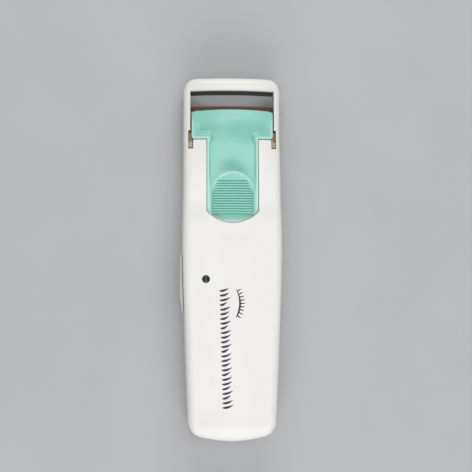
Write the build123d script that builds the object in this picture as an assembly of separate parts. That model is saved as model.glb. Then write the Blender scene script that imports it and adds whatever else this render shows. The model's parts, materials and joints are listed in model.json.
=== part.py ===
from build123d import *
import math
import os

# Battery-heated eyelash curler with a thumb slider.
# Millimetres. +Y runs from the handle end to the curling head, +X is to the right and
# +Z points out of the front face. The tool lies on its back: the flat of the back is Z = 0,
# and the origin is on that flat, half-way along the body.

# ---------------------------------------------------------------- driving dimensions
END_Y = -73.7  # handle end
TOP_Y = 73.8  # tip of the head
SEAM_Y = 30.0  # where the straight body runs into the curved head
BODY_Z = 18.0  # front face of the handle
CHEEK_Z = 16.4  # front face beside the slider
PART_Z = 9.0  # plane where the two shells meet
WALL = 1.6
REVEAL = 0.2  # shadow line between the two shells
SCOOP_R = 60.0  # shallow hollow for the thumb below the slider
SCOOP_Y = 14.0
SCOOP_DEPTH = 0.7
EDGE_R = 3.0  # rounding of the front edge
TIP_ANGLE = 72  # the tip is rounded this far round, then flat
BACK_R = 1.8  # rounding of the back edge
END_CORNER_R = 6.5
END_BOW = 0.9  # how far the end bulges
HEAD_CORNER_R = 5.0
# half width of the body at a few places along Y
SIDE = [(30.0, 19.72), (21.0, 19.9), (8.0, 20.2), (-22.0, 19.55), (-46.0, 18.65), (-70.4, 17.65)]
HEAD_HALF = 19.65

# the head bends round the eye: every curved face of it is an arc about one axis
HEAD_AXIS_Z = -26.1
HEAD_FRONT_R = 42.5
HEAD_BACK_R = 33.1
BEND_END_Y = 54.0  # the bend is complete from here to the tip

# lash window and the slider's channel
WINDOW_HALF = 17.15
WINDOW_Y = 48.75  # lower edge of the opening between the arms
BAR_Y = 68.75  # lower edge of the top bar
BAR_EDGE_R = 0.9  # rounding of that edge
BACK_SHELL_Y = 46.0  # the back shell ends here; the arms are full depth beyond it
STEM_HALF = 10.37
STEM_TIP_Y = 15.05
STEM_CORNER_Y = 19.7
CHANNEL_Z = 12.6  # floor of the channel that the slider's stem runs in
FLOOR = 1.4
FIT = 0.2  # clearance beside sliding parts
RIM_CHAMFER = 0.3
TRAVEL = 4.7  # slider stroke, from open to closed on the lashes

# slider
SLIDER_Z = 12.85  # underside of the stem
STEM_Z = 16.1
JAW_HALF = 16.54
JAW_Y = (49.0, 60.76)
JAW_FRONT_R = 42.9
JAW_BACK_R = 39.9
DISH_Z = 14.9  # floor of the stem's dish
DISH_RIM = 0.97
DISH_TOP_Y = 54.0
GRIP_HALF = 8.3
GRIP_Y = 18.35
GRIP_TOP_Y = 35.46
GRIP_Z = 17.3
GROOVES = 14
GROOVE_PITCH = 1.025
GROOVE_WIDTH = 0.42
GROOVE_DEPTH = 0.45

# heater
CARRIER_HALF = 16.95
CARRIER_BACK_R = 33.5
CARRIER_FRONT_R = 39.6
CARRIER_Y = 49.3
CARRIER_TOP_Y = 60.6
TAIL_Y = 42.5
EAR_Y = (45.6, 52.0)
TAIL_BACK_R = 34.5
TAIL_FRONT_R = 36.8
HEATER_TOP_Y = 62.6
UPPER_PAD_Y = 67.5

# slider inner parts and the pad in the top bar
SHANK_Y = (22.5, 32.0)
GUIDE_TOP_Z = CHANNEL_Z - FLOOR - 0.25
SPRING_SEAT_Y = (38.0, 39.6)
SPRING_TURNS = 9
UPPER_PAD_R = (36.2, 39.8)
UPPER_PAD_HALF = 16.7
UPPER_PAD_TOP_Y = 70.0

# arms: a groove inside each guides the carrier's ears, a notch in front lets them in
GROOVE_HALF = 17.95
GUIDE_Y = (43.5, 60.0)
GUIDE_Z = (4.6, 10.6)
NOTCH_HALF = (15.95, 17.95)
NOTCH_Y = (45.1, 52.7)

# batteries: two AAA cells side by side
CELL_R = 5.25
NUB_R = 1.9
NUB_LENGTH = 0.9
CELL_X = 5.45
CELL_Z = 7.1
BAY_HALF = 11.0
BAY_Y = (-69.4, -21.2)
BAY_TOP_Z = 12.5
CELL_GAP = 2.8  # room for the compressed contact spring
CONTACT = 0.4

# battery door
DOOR_HALF = 12.0
DOOR_Z = 1.5
DOOR_TOP_Y = -20.0
DOOR_GAP = 0.15
TONGUE = 0.7
TONGUE_Z = (0.85, 1.5)
DOOR_GRIPS = 5
DOOR_GRIP_Y = -60.0

# electronics
BOARD_Z = 6.2  # back face of the circuit board
BOARD_T = 1.2
LED_X, LED_Y, LED_R = -10.94, -8.0, 1.5
SWITCH_Y = -10.4
SWITCH_Z = 9.4
KNOB_TRAVEL = 3.0
KNOB_GROOVES = 6

# fasteners
POST_R = 2.2
BACK_POST_R = 2.6
SCREW_SINK = 2.0  # depth and radius of the hole that a case screw's head drops into
CASE_SCREW_R = 0.8
CASE_SCREW_TOP = 15.0
BOARD_SCREW_R = 0.6
SLIDER_SCREW_R = 0.7
SLIDER_SCREW_Z = 9.5
SCREW_PLACES = [(-15.0, -62.0), (15.0, -62.0), (-15.4, 26.0), (15.4, 26.0)]
BOARD_SCREWS = [(9.5, -15.0), (9.5, 6.0)]
SLIDER_SCREWS = [(0.0, 25.0), (0.0, 29.5)]
CARRIER_SCREWS = [(-12.0, 54.5), (12.0, 54.5)]


# ---------------------------------------------------------------- helpers
def block(x, y, z):
    """A box from (low, high) pairs along each axis."""
    size = [high - low for low, high in (x, y, z)]
    middle = [(high + low) / 2 for low, high in (x, y, z)]
    return Pos(*middle) * Box(*size)


def rod_z(r, x, y, z0, z1):
    return Pos(x, y, (z0 + z1) / 2) * Cylinder(r, z1 - z0)


def rod_y(r, x, z, y0, y1):
    return Pos(x, (y0 + y1) / 2, z) * Rot(X=90) * Cylinder(r, y1 - y0)


def arc_slab(r0, r1, half, y0, y1):
    """The slab between two radii about the head's axis, cut off square at the sides."""
    ring = rod_y(r1, 0, HEAD_AXIS_Z, y0, y1) - rod_y(r0, 0, HEAD_AXIS_Z, y0 - 1, y1 + 1)
    return ring & block((-half, half), (y0 - 1, y1 + 1), (-5, 30))


def both_sides(shape):
    return shape + mirror(shape, about=Plane.YZ)


def save(shape, name):
    export_step(Compound(children=shape.solids()), f"parts/{name}.step")


def smooth(t):
    t = min(max(t, 0.0), 1.0)
    return t * t * (3 - 2 * t)


def sag(radius, half):
    return radius - math.sqrt(radius**2 - half**2)


# ---------------------------------------------------------------- outer form
def handle_plan(inset):
    side = [(x - inset, y) for y, x in SIDE]
    side[-1] = (side[-1][0], side[-1][1] + inset)
    tip = END_Y + inset
    with BuildSketch() as sketch:
        with BuildLine():
            Line((0, SEAM_Y), side[0])
            Spline(*side)
            ThreePointArc(side[-1], (side[-1][0] / 2, tip + END_BOW), (0, tip))
            mirror(about=Plane.YZ)
        make_face()
    corners = [v for v in sketch.sketch.vertices() if v.Y < -65 and abs(v.X) > 10]
    return fillet(corners, END_CORNER_R - inset)


def handle_profile(inset):
    """Side view: flat front, a roll down to the end, and a ramp down to the cheeks."""
    front = BODY_Z - inset
    cheek = CHEEK_Z - inset
    with BuildSketch(Plane.YZ) as sketch:
        with BuildLine():
            Polyline((SEAM_Y, inset), (SEAM_Y, cheek), (22.6, cheek))
            crease = ThreePointArc((22.6, cheek), (21.4, cheek + 0.1), (20.3, cheek + 0.4))
            TangentArc((20.3, cheek + 0.4), (13.0, front), tangent=crease % 1)
            Line((13.0, front), (-62.0, front))
            TangentArc((-62.0, front), (-76.0, front - 6.5), tangent=(-1, 0))
            Polyline((-76.0, front - 6.5), (-76.0, inset), (SEAM_Y, inset))
        make_face()
    return sketch.sketch


def handle_form(inset=0.0):
    form = extrude(handle_plan(inset), BODY_Z)
    form = form & extrude(handle_profile(inset), 30, both=True)
    if inset:
        return form
    front = [e for e in form.edges() if is_front_edge(e)]
    form = form.fillet(EDGE_R, front)
    back = [e for e in form.edges() if e.bounding_box().max.Z < 0.01 and e.center().Y < SEAM_Y - 0.1]
    return form.fillet(BACK_R, back)


def is_front_edge(edge):
    box = edge.bounding_box()
    across = box.size.X > 30 or edge.center().Y > SEAM_Y - 0.1
    upright = box.size.Z > 3 and box.size.X < 0.3 and box.size.Y < 0.3
    return edge.center().Z > PART_Z and not across and not upright


def bow(centre, start, end):
    """The arc about centre from start to end, the short way round."""
    (cx, cz), (x0, z0), (x1, z1) = centre, start, end
    radius = math.hypot(x0 - cx, z0 - cz)
    mx, mz = (x0 + x1) / 2 - cx, (z0 + z1) / 2 - cz
    grow = radius / math.hypot(mx, mz)
    return ThreePointArc(start, (cx + mx * grow, cz + mz * grow), end)


def head_section(y, inset=0.0, side_inset=0.0):
    """Cross-section of the head at y: flat at the seam, bent about the head's axis further on."""
    bend = smooth((y - SEAM_Y) / (BEND_END_Y - SEAM_Y))
    half = SIDE[0][1] + (HEAD_HALF - SIDE[0][1]) * bend - max(inset, side_inset)
    curve = max(bend, 0.01)
    front_r, back_r = HEAD_FRONT_R / curve - inset, HEAD_BACK_R / curve + inset
    front_c = CHEEK_Z - inset - front_r
    back_c = (HEAD_AXIS_Z + HEAD_BACK_R) * bend + inset - back_r
    r0, r1 = max(EDGE_R - inset, 0.4), max(BACK_R - inset, 0.4)
    x0, x1 = half - r0, half - r1
    z0 = front_c + math.sqrt((front_r - r0) ** 2 - x0**2)
    z1 = back_c + math.sqrt((back_r + r1) ** 2 - x1**2)
    out, inn = front_r / (front_r - r0), back_r / (back_r + r1)
    front_x, front_z = x0 * out, front_c + (z0 - front_c) * out
    back_x, back_z = x1 * inn, back_c + (z1 - back_c) * inn
    with BuildSketch(Plane((0, y, 0), x_dir=(1, 0, 0), z_dir=(0, -1, 0))) as sketch:
        with BuildLine():
            bow((0, back_c), (-back_x, back_z), (back_x, back_z))
            bow((x1, z1), (back_x, back_z), (half, z1))
            Line((half, z1), (half, z0))
            bow((x0, z0), (half, z0), (front_x, front_z))
            bow((0, front_c), (front_x, front_z), (-front_x, front_z))
            bow((-x0, z0), (-front_x, front_z), (-half, z0))
            Line((-half, z0), (-half, z1))
            bow((-x1, z1), (-half, z1), (-back_x, back_z))
        make_face()
    return sketch.sketch.faces()[0]


def head_form(inset=0.0):
    stations = [SEAM_Y, 34.0, 38.0, 42.0, 46.0, 50.0, BEND_END_Y, 60.0, 66.0]
    sections = [head_section(y, inset) for y in stations]
    if inset:
        return loft(sections + [head_section(78.0, inset)])
    for angle in (0, 25, 45, 60, TIP_ANGLE):
        turn = math.radians(angle)
        y = TOP_Y - EDGE_R + EDGE_R * math.sin(turn) / math.sin(math.radians(TIP_ANGLE))
        sections.append(head_section(y, EDGE_R * (1 - math.cos(turn)), corner_inset(y)))
    return loft(sections)


def corner_inset(y):
    """How far the side has turned in at y, on its way round the head's corner."""
    along = y - (TOP_Y - HEAD_CORNER_R)
    return sag(HEAD_CORNER_R, max(along, 0.0))


def outer_form():
    return handle_form() + head_form()


def inner_form(inset=WALL):
    return handle_form(inset) + head_form(inset)


# ---------------------------------------------------------------- housing
def stem_plan(grow, top_y):
    """The slider stem's outline: straight sides and a bowed lower end."""
    half, corner, tip = STEM_HALF + grow, STEM_CORNER_Y - grow, STEM_TIP_Y - grow
    with BuildSketch() as sketch:
        with BuildLine():
            Polyline((-half, corner), (-half, top_y), (half, top_y), (half, corner))
            ThreePointArc((half, corner), (0, tip), (-half, corner))
        make_face()
    return sketch.sketch


def prism(face, z0, z1):
    return Pos(0, 0, z0) * extrude(face, z1 - z0)


def channel_cut():
    return prism(stem_plan(FIT, WINDOW_Y + 1), CHANNEL_Z, 30)


def channel_tray():
    return prism(stem_plan(FIT + FLOOR, WINDOW_Y), CHANNEL_Z - FLOOR, 30)


def front_shell():
    form = outer_form()
    shell = form & block((-30, 30), (-80, BACK_SHELL_Y), (PART_Z, 30))
    shell += form & block((-30, 30), (BACK_SHELL_Y, 80), (-5, 30))
    cavity = inner_form() & block((-30, 30), (-80, WINDOW_Y), (-5, 30))
    cavity -= channel_tray()
    shell -= cavity
    shell -= block((-WINDOW_HALF, WINDOW_HALF), (WINDOW_Y, BAR_Y), (-5, 30))
    shell = shell.fillet(BAR_EDGE_R, [e for e in shell.edges() if is_bar_edge(e)])
    shell -= block((-WINDOW_HALF, WINDOW_HALF), (BACK_SHELL_Y - 1, WINDOW_Y + 1), (-5, CHANNEL_Z - FLOOR))
    shell -= channel_cut()
    shell -= Pos(0, SCOOP_Y, BODY_Z + SCOOP_R - SCOOP_DEPTH) * Sphere(SCOOP_R)
    shell = shell.chamfer(RIM_CHAMFER, None, [e for e in shell.edges() if is_channel_rim(e)])
    shell -= block((-4, 4), (SHANK_Y[0] - 0.4, SHANK_Y[1] + TRAVEL + 0.4), (5, 20))
    shell -= both_sides(block((WINDOW_HALF - 2, GROOVE_HALF), GUIDE_Y, GUIDE_Z))
    shell -= both_sides(block(NOTCH_HALF, NOTCH_Y, (GUIDE_Z[0], 30)))
    shell -= arc_slab(UPPER_PAD_R[0], UPPER_PAD_R[1], UPPER_PAD_HALF, BAR_Y - 1, UPPER_PAD_TOP_Y)
    shell -= rod_z(LED_R + 0.1, LED_X, LED_Y, 10, 30)
    for x, y in SCREW_PLACES:
        shell += rod_z(POST_R, x, y, PART_Z, BODY_Z) & inner_form()
        shell -= rod_z(CASE_SCREW_R, x, y, PART_Z - 1, CASE_SCREW_TOP)
    return shell - switch_slot()


def is_bar_edge(edge):
    """The front edge of the window's far side."""
    box = edge.bounding_box()
    return box.size.X > WINDOW_HALF and abs(edge.center().Y - BAR_Y) < 0.01 and box.min.Z > PART_Z


def is_channel_rim(edge):
    """Edges where the channel's wall meets the front face."""
    box = edge.bounding_box()
    inside = abs(edge.center().X) < STEM_HALF + 0.5 and STEM_TIP_Y - 0.5 < box.min.Y < WINDOW_Y - 1
    return inside and box.min.Z > CHANNEL_Z + 1 and box.size.X < 2 * STEM_HALF + 1


def switch_slot():
    low, high = SWITCH_Y - 2.8, SWITCH_Y + 2.8 + KNOB_TRAVEL
    return block((-24, -17.2), (low, high), (SWITCH_Z - 1.5, SWITCH_Z + 1.5))


def back_shell():
    form = outer_form() & block((-30, 30), (-80, BACK_SHELL_Y), (-5, PART_Z))
    shell = form - inner_form()
    for x, y in SCREW_PLACES:
        shell += rod_z(BACK_POST_R, x, y, SCREW_SINK / 2, PART_Z) & (inner_form() + form)
    shell += battery_bay()
    shell -= door_seat()
    for x, y in SCREW_PLACES:
        shell -= rod_z(1.15, x, y, -1, PART_Z + 1) + rod_z(SCREW_SINK, x, y, -1, SCREW_SINK)
    for x, y in BOARD_SCREWS:
        shell += rod_z(2.0, x, y, 1.0, BOARD_Z)
        shell -= rod_z(BOARD_SCREW_R, x, y, 2.0, BOARD_Z + 1)
    seat = block((-11, 11), SPRING_SEAT_Y, (1.0, 8.0)) & inner_form(WALL / 2)
    shell += seat - block((-3.4, 3.4), (30, 45), (1.7, 9))
    reveal = block((-30, 30), (-80, BACK_SHELL_Y), (PART_Z - REVEAL, PART_Z))
    shell -= reveal - inner_form(2 * REVEAL)
    return shell - switch_slot()


def battery_bay():
    """The walled box for the cells, open to the back, with rails that hold the door's tongues."""
    ends = (BAY_Y[0] - 1, BAY_Y[1] + 1)
    walls = block((-DOOR_HALF, DOOR_HALF), ends, (0.3, BAY_TOP_Z + 0.8))
    rails = both_sides(block((BAY_HALF, DOOR_HALF + 2), (ends[0], DOOR_TOP_Y + 1), (1.0, 2.6)))
    return walls + rails - block((-BAY_HALF, BAY_HALF), BAY_Y, (-1, BAY_TOP_Z))


def door_seat():
    """What the back loses for the cells, the sliding door and its tongues."""
    half, top, deep = DOOR_HALF + DOOR_GAP, DOOR_TOP_Y + DOOR_GAP, DOOR_Z + DOOR_GAP
    seat = block((-half, half), (-80, top), (-1, deep))
    groove = half + TONGUE
    seat += block((-groove, groove), (-80, top), (TONGUE_Z[0] - 0.1, deep))
    return seat + block((-BAY_HALF, BAY_HALF), BAY_Y, (-1, BAY_TOP_Z))


def battery_door():
    door = block((-DOOR_HALF, DOOR_HALF), (-80, DOOR_TOP_Y), (0, DOOR_Z)) & handle_form()
    tongue = block((DOOR_HALF - 1, DOOR_HALF + TONGUE), (BAY_Y[0], DOOR_TOP_Y), TONGUE_Z)
    door += both_sides(tongue)
    for i in range(DOOR_GRIPS):
        y = DOOR_GRIP_Y + 1.8 * i
        half = 5 - 0.4 * i
        door -= block((-half, half), (y, y + 0.8), (-1, 0.4))
    return door


def upper_pad():
    seat = arc_slab(UPPER_PAD_R[0], UPPER_PAD_R[1], UPPER_PAD_HALF, BAR_Y, UPPER_PAD_TOP_Y)
    lip = arc_slab(UPPER_PAD_R[0], UPPER_PAD_R[1], UPPER_PAD_HALF, UPPER_PAD_Y, BAR_Y)
    return seat + lip


# ---------------------------------------------------------------- slider
def grip_plan(grow=0.0):
    half = GRIP_HALF + grow
    with BuildSketch() as sketch:
        with BuildLine():
            Polyline((-half, GRIP_TOP_Y - half), (-half, GRIP_Y), (half, GRIP_Y), (half, GRIP_TOP_Y - half))
            ThreePointArc((half, GRIP_TOP_Y - half), (0, GRIP_TOP_Y), (-half, GRIP_TOP_Y - half))
        make_face()
    return sketch.sketch


def grip():
    """The raised thumb pad: rounded round the arch and grooved across."""
    pad = prism(grip_plan(), SLIDER_Z + 1, GRIP_Z)
    rim = [e for e in pad.edges() if e.bounding_box().min.Z > GRIP_Z - 0.01 and e.center().Y > GRIP_Y + 0.1]
    pad = pad.fillet(0.5, rim)
    for i in range(GROOVES):
        y = GRIP_Y + 0.25 + GROOVE_PITCH * i
        pad -= block((-20, 20), (y, y + GROOVE_WIDTH), (GRIP_Z - GROOVE_DEPTH, 30))
    return pad


def jaw():
    slab = arc_slab(JAW_BACK_R, JAW_FRONT_R, JAW_HALF, *JAW_Y)
    upright = [e for e in slab.edges() if e.bounding_box().size.Y < 0.01 and e.bounding_box().size.X < 8]
    return slab.fillet(1.2, upright)


def slider_cover():
    """T-shaped thumb slider: a bent jaw cover, a dished stem and a ribbed grip."""
    stem = prism(stem_plan(0, JAW_Y[0] + 0.25), SLIDER_Z, STEM_Z)
    cover = stem + jaw()
    rim = DISH_RIM
    dish = block((-STEM_HALF + rim, STEM_HALF - rim), (STEM_TIP_Y, DISH_TOP_Y), (DISH_Z, 30))
    dish = dish.fillet(0.8, dish.edges().filter_by(Axis.Y).sort_by(Axis.Z)[:2])
    cover -= dish & prism(stem_plan(-rim, 60), 10, 30)
    cover -= arc_slab(JAW_FRONT_R - 0.7, 60, JAW_HALF - 2, JAW_Y[0] + rim, DISH_TOP_Y + 0.6)
    cover += grip()
    cover += block((-3.6, 3.6), SHANK_Y, (GUIDE_TOP_Z, SLIDER_Z + 0.5))
    for x, y in SLIDER_SCREWS:
        cover -= rod_z(SLIDER_SCREW_R, x, y, 5, 15.5)
    for x, y in CARRIER_SCREWS:
        cover -= rod_z(SLIDER_SCREW_R, x, y, 0, 14.0)
    return cover


def slider_guide():
    """Plate screwed to the slider from inside, with a leg behind each return spring."""
    guide = block((-7.5, 7.5), (20.5, 34.0), (8.6, GUIDE_TOP_Z))
    guide += both_sides(block((5.2, 10.8), (20.5, 22.5), (3.6, GUIDE_TOP_Z)))
    for x, y in SLIDER_SCREWS:
        guide -= rod_z(SLIDER_SCREW_R + 0.35, x, y, 5, 15)
        guide -= rod_z(1.9, x, y, 5, SLIDER_SCREW_Z)
    return guide


def heater_carrier():
    """Brown heat-proof carrier: a bent block behind the jaw, a tail and two ears."""
    body = arc_slab(CARRIER_BACK_R, CARRIER_FRONT_R, CARRIER_HALF, CARRIER_Y, CARRIER_TOP_Y)
    body += arc_slab(TAIL_BACK_R, TAIL_FRONT_R, CARRIER_HALF, TAIL_Y, CARRIER_Y)
    ear = block((15.5, 17.75), EAR_Y, (GUIDE_Z[0] + FIT, GUIDE_Z[1] - FIT))
    post = block((16.3, CARRIER_HALF), (EAR_Y[0], JAW_Y[0] - 0.2), (6.0, 12.4))
    cap = block((16.15, 17.75), (EAR_Y[0], NOTCH_Y[1] - TRAVEL - FIT), (6.0, 12.8))
    body += both_sides(ear + post + cap)
    body -= arc_slab(34.7, 38.7, 15.8, 57.0, CARRIER_TOP_Y + 1)
    body -= arc_slab(34.9, 38.3, 6.0, 51.5, 58.0)
    body -= block((-2.6, 2.6), (TAIL_Y - 1, 52.0), (8.6, 9.9))
    for x, y in CARRIER_SCREWS:
        body -= rod_z(SLIDER_SCREW_R + 0.35, x, y, 0, 20)
        body -= rod_z(1.9, x, y, 0, screw_seat(x))
    return body


def screw_seat(x):
    return HEAD_AXIS_Z + math.sqrt(CARRIER_BACK_R**2 - x**2) + 1.9


def heater_pad():
    root = arc_slab(34.8, 38.6, 15.7, 59.4, CARRIER_TOP_Y)
    cap = arc_slab(34.0, 39.5, 16.75, CARRIER_TOP_Y, HEATER_TOP_Y)
    corners = [e for e in cap.edges() if e.center().Y > HEATER_TOP_Y - 0.01 and e.bounding_box().size.X > 20]
    return root + cap.fillet(0.6, corners)


def heater_plate():
    return arc_slab(34.8, 38.6, 15.7, 58.0, 59.4)


def heating_element():
    return arc_slab(35.4, 38.0, 14.5, 57.3, 58.0)


def thermal_cutoff():
    return block((-4.0, 4.0), (52.2, 55.2), (9.8, 11.4)) + block((-1.5, 1.5), (55.2, 57.3), (10.2, 10.8))


# ---------------------------------------------------------------- springs, leads and fasteners
def coil(radius, wire, pitch, length):
    """A round-wire helical spring along +Z with its foot at the origin."""
    path = Helix(pitch, length, radius)
    section = Plane(origin=path @ 0, z_dir=path % 0) * Circle(wire / 2)
    return sweep(section, path=path, is_frenet=True)


def return_springs():
    start = SHANK_Y[0] + 0.25
    length = SPRING_SEAT_Y[0] - start - 0.25
    spring = Rot(X=-90) * coil(1.6, 0.4, length / SPRING_TURNS, length)
    return both_sides(Pos(8.0, start, 6.0) * spring)


def lead(x, points, wire):
    path = FilletPolyline(*[(x, y, z) for y, z in points], radius=2.4)
    section = Plane(origin=path @ 0, z_dir=path % 0) * Circle(wire / 2)
    return sweep(section, path=path)


def heater_leads():
    """Two insulated wires from the circuit board to the heater, with a slack bow between."""
    route = [(6.5, 8.1), (12.0, 8.1), (17.0, 3.4), (35.0, 3.4), (41.0, 9.25), (51.0, 9.25)]
    return both_sides(lead(1.3, route, 1.1))


def screw(head_r, length, r):
    """A pan-head screw along +Z, with its head's underside at the origin."""
    body = rod_z(r, 0, 0, 0, length) + rod_z(head_r, 0, 0, -1.2, 0)
    slot = block((-1.0, 1.0), (-0.2, 0.2), (-1.3, -0.7))
    return body - slot - Rot(Z=90) * slot


def screws(places, z, head_r, length, r, turn=0):
    one = Rot(X=turn) * screw(head_r, length, r)
    return Compound(children=[Pos(x, y, z) * one for x, y in places])


# ---------------------------------------------------------------- power
def cell(x, up):
    y0, y1 = (BAY_Y[0] + CONTACT + CELL_GAP, BAY_Y[1] - CONTACT)
    if not up:
        y0, y1 = (BAY_Y[0] + CONTACT, BAY_Y[1] - CONTACT - CELL_GAP)
    can = (y0, y1 - NUB_LENGTH) if up else (y0 + NUB_LENGTH, y1)
    body = rod_y(CELL_R, x, CELL_Z, *can)
    body = body.fillet(0.4, body.edges().filter_by(GeomType.CIRCLE))
    nub = (y1 - NUB_LENGTH, y1) if up else (y0, y0 + NUB_LENGTH)
    return body + rod_y(NUB_R, x, CELL_Z, *nub)


def contact_spring(x, y, towards):
    spring = coil(2.4, 0.5, 0.85, CELL_GAP - 0.6)
    return Pos(x, y + 0.3 * towards, CELL_Z) * Rot(X=-90 * towards) * spring


def contact_springs():
    low = contact_spring(-CELL_X, BAY_Y[0] + CONTACT, 1)
    high = contact_spring(CELL_X, BAY_Y[1] - CONTACT, -1)
    return low + high


def bridge_contact():
    return block((-9.5, 9.5), (BAY_Y[0], BAY_Y[0] + CONTACT), (3.5, 11.0))


def end_contact(x):
    return block((x - 4.2, x + 4.2), (BAY_Y[1] - CONTACT, BAY_Y[1]), (3.5, 11.0))


# ---------------------------------------------------------------- electronics
def circuit_board():
    board = block((-16.2, 12.5), (-19.5, 9.5), (BOARD_Z, BOARD_Z + BOARD_T))
    board = board.fillet(1.0, board.edges().filter_by(Axis.Z))
    for x, y in BOARD_SCREWS:
        board -= rod_z(0.9, x, y, BOARD_Z - 1, BOARD_Z + 3)
    return board


def control_chip():
    top = BOARD_Z + BOARD_T
    chip = block((-3.0, 3.0), (-12.0, -8.0), (top, top + 1.5))
    for i in range(4):
        y = -11.6 + 1.0 * i
        chip += both_sides(block((2.9, 4.2), (y, y + 0.4), (top, top + 0.4)))
    return chip


def resistors():
    top = BOARD_Z + BOARD_T
    row = [rod_y(0.8, 8.0 - 2.6 * i, top + 0.8, -4.0, -0.5) for i in range(3)]
    return Compound(children=row)


def capacitor():
    top = BOARD_Z + BOARD_T
    return rod_z(2.5, 3.5, 4.5, top, top + 5.5)


def power_led():
    body = rod_z(LED_R, LED_X, LED_Y, 13.0, BODY_Z + 0.2)
    body = body.fillet(0.45, body.edges().filter_by(GeomType.CIRCLE).sort_by(Axis.Z)[-1:])
    for x in (LED_X - 0.7, LED_X + 0.7):
        body += block((x - 0.25, x + 0.25), (LED_Y - 0.25, LED_Y + 0.25), (BOARD_Z + BOARD_T, 13.2))
    return body


def led_spacer():
    tube = rod_z(1.9, LED_X, LED_Y, BOARD_Z + BOARD_T, 13.0)
    return tube - block((LED_X - 1.1, LED_X + 1.1), (LED_Y - 0.4, LED_Y + 0.4), (5, 14))


def switch_body():
    top = BOARD_Z + BOARD_T
    return block((-16.0, -12.9), (SWITCH_Y - 4.5, SWITCH_Y + 6.5), (top, 11.4))


def switch_knob():
    """Long thumb slide on the left side, with a neck through the wall and a keeper inside."""
    ramp = Polyline((-21.4, 1.5), (-21.4, -14.0), (-20.2, -22.3), (-17, -22.3), (-17, 1.5), close=True)
    pad = prism(make_face(ramp), SWITCH_Z - 3.2, SWITCH_Z + 3.2)
    pad = pad.fillet(0.5, [e for e in pad.edges() if e.center().X < -20.9])
    pad -= extrude(handle_plan(-FIT), 30, both=True)
    for i in range(KNOB_GROOVES):
        y = -9.0 + 1.5 * i
        pad -= block((-30, -21.15), (y, y + 0.6), (0, 30))
    neck = block((-20.8, -16.9), (SWITCH_Y - 2.5, SWITCH_Y + 2.5), (SWITCH_Z - 1.2, SWITCH_Z + 1.2))
    keeper = block((-17.6, -16.6), (SWITCH_Y - 3.4, SWITCH_Y + 3.4), (SWITCH_Z - 1.9, SWITCH_Z + 1.9))
    return pad + neck + keeper


# ---------------------------------------------------------------- build
def build():
    os.makedirs("parts", exist_ok=True)
    parts = {
        "front_shell": front_shell(),
        "back_shell": back_shell(),
        "battery_door": battery_door(),
        "upper_pad": upper_pad(),
        "slider_cover": slider_cover(),
        "slider_guide": slider_guide(),
        "heater_carrier": heater_carrier(),
        "heater_pad": heater_pad(),
        "heater_plate": heater_plate(),
        "heating_element": heating_element(),
        "thermal_cutoff": thermal_cutoff(),
        "heater_leads": heater_leads(),
        "return_springs": return_springs(),
        "circuit_board": circuit_board(),
        "control_chip": control_chip(),
        "resistors": resistors(),
        "capacitor": capacitor(),
        "power_led": power_led(),
        "led_spacer": led_spacer(),
        "switch_body": switch_body(),
        "switch_knob": switch_knob(),
        "battery_left": cell(-CELL_X, True),
        "battery_right": cell(CELL_X, False),
        "contact_springs": contact_springs(),
        "bridge_contact": bridge_contact(),
        "positive_contact": end_contact(-CELL_X),
        "negative_contact": end_contact(CELL_X),
        "case_screws": screws(SCREW_PLACES, SCREW_SINK, 1.8, 10.0, CASE_SCREW_R),
        "board_screws": screws(BOARD_SCREWS, BOARD_Z + BOARD_T, 1.6, 4.5, BOARD_SCREW_R, 180),
        "slider_screws": screws(SLIDER_SCREWS, SLIDER_SCREW_Z, 1.7, 5.0, SLIDER_SCREW_R),
        "carrier_screws": screws(CARRIER_SCREWS, screw_seat(12.0), 1.7, 6.0, SLIDER_SCREW_R),
    }
    for name, shape in parts.items():
        save(shape, name)


build()
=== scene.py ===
import json
import math
import random

import bmesh
import bpy
from mathutils import Euler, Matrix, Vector


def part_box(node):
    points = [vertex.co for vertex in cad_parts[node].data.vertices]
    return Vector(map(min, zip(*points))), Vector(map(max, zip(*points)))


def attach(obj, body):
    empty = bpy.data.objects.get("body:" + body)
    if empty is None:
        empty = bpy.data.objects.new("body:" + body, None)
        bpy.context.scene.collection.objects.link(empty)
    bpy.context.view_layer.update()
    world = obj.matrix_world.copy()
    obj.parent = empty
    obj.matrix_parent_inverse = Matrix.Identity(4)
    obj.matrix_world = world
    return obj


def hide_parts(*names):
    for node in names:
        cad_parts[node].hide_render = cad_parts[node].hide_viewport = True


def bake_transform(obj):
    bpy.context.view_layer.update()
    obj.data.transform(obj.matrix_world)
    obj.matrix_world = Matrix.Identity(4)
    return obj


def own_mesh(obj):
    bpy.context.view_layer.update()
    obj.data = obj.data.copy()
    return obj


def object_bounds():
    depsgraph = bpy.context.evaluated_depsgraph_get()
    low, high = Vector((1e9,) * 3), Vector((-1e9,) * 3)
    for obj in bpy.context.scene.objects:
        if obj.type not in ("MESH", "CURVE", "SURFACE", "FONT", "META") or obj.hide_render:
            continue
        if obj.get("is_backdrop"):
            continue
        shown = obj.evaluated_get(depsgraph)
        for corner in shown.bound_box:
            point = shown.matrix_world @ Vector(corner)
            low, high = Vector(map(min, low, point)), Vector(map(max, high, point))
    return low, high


MM = 0.001
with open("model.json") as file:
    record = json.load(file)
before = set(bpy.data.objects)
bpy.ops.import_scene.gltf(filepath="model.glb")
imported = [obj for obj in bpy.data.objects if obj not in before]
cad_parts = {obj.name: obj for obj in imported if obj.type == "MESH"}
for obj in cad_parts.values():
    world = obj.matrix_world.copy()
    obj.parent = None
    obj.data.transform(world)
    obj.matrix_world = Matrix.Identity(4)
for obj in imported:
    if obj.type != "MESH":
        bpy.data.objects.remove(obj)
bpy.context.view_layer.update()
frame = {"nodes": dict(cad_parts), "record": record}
nodes = frame["nodes"]


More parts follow.
